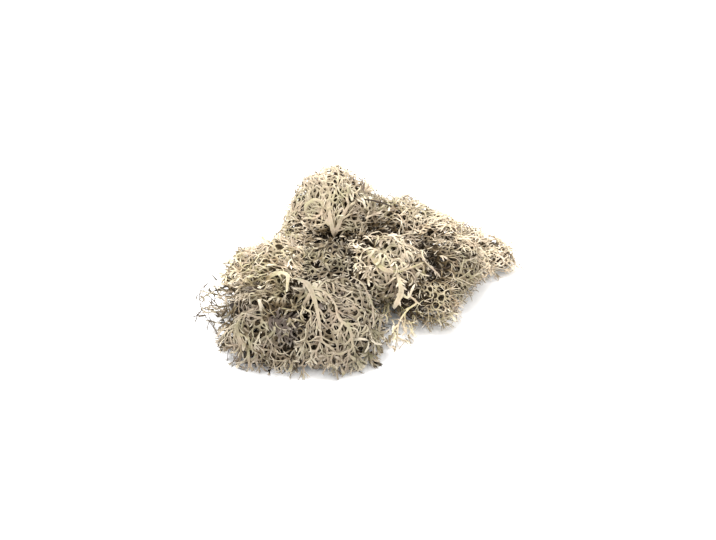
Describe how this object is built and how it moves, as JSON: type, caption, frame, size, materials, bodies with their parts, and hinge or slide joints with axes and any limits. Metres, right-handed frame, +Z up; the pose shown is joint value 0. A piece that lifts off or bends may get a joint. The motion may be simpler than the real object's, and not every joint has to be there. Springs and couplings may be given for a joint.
{
  "type": "lichen on a twig",
  "caption": "Loose, low heap of dry, pale, antler-like lichen tufts that grew on a thin forked twig, which lies almost hidden inside them; a natural decoration or craft filler.",
  "frame": {"origin": "bottom centre of the whole heap's box, on the surface it lies on", "axes": "+X along the heap towards its thin right-hand end, +Y towards the back, +Z up"},
  "size_m": [0.1514, 0.1238, 0.053],
  "materials": {
    "bark": "dry, dull, dark brown bark",
    "lichen": "dry, matt, pale grey-cream to olive lobes with darker undersides"
  },
  "bodies": {
    "root": {"twig_stem": "bark", "twig_branch_crest": "bark", "twig_branch_front": "bark", "twig_branch_right": "bark", "twiglet_crest": "bark", "twiglet_left": "bark", "tuft_crest": "lichen", "tuft_crest_right": "lichen", "tuft_crest_back": "lichen", "tuft_left_spray": "lichen", "tuft_left_upper": "lichen", "tuft_left_edge": "lichen", "tuft_front_left": "lichen", "tuft_front_centre": "lichen", "tuft_saddle": "lichen", "tuft_middle": "lichen", "tuft_front_fringe": "lichen", "tuft_right_shoulder": "lichen", "tuft_right_tip": "lichen", "tuft_right_low": "lichen", "tuft_right_hem": "lichen", "tuft_back_right": "lichen"}
  },
  "joints": []
}
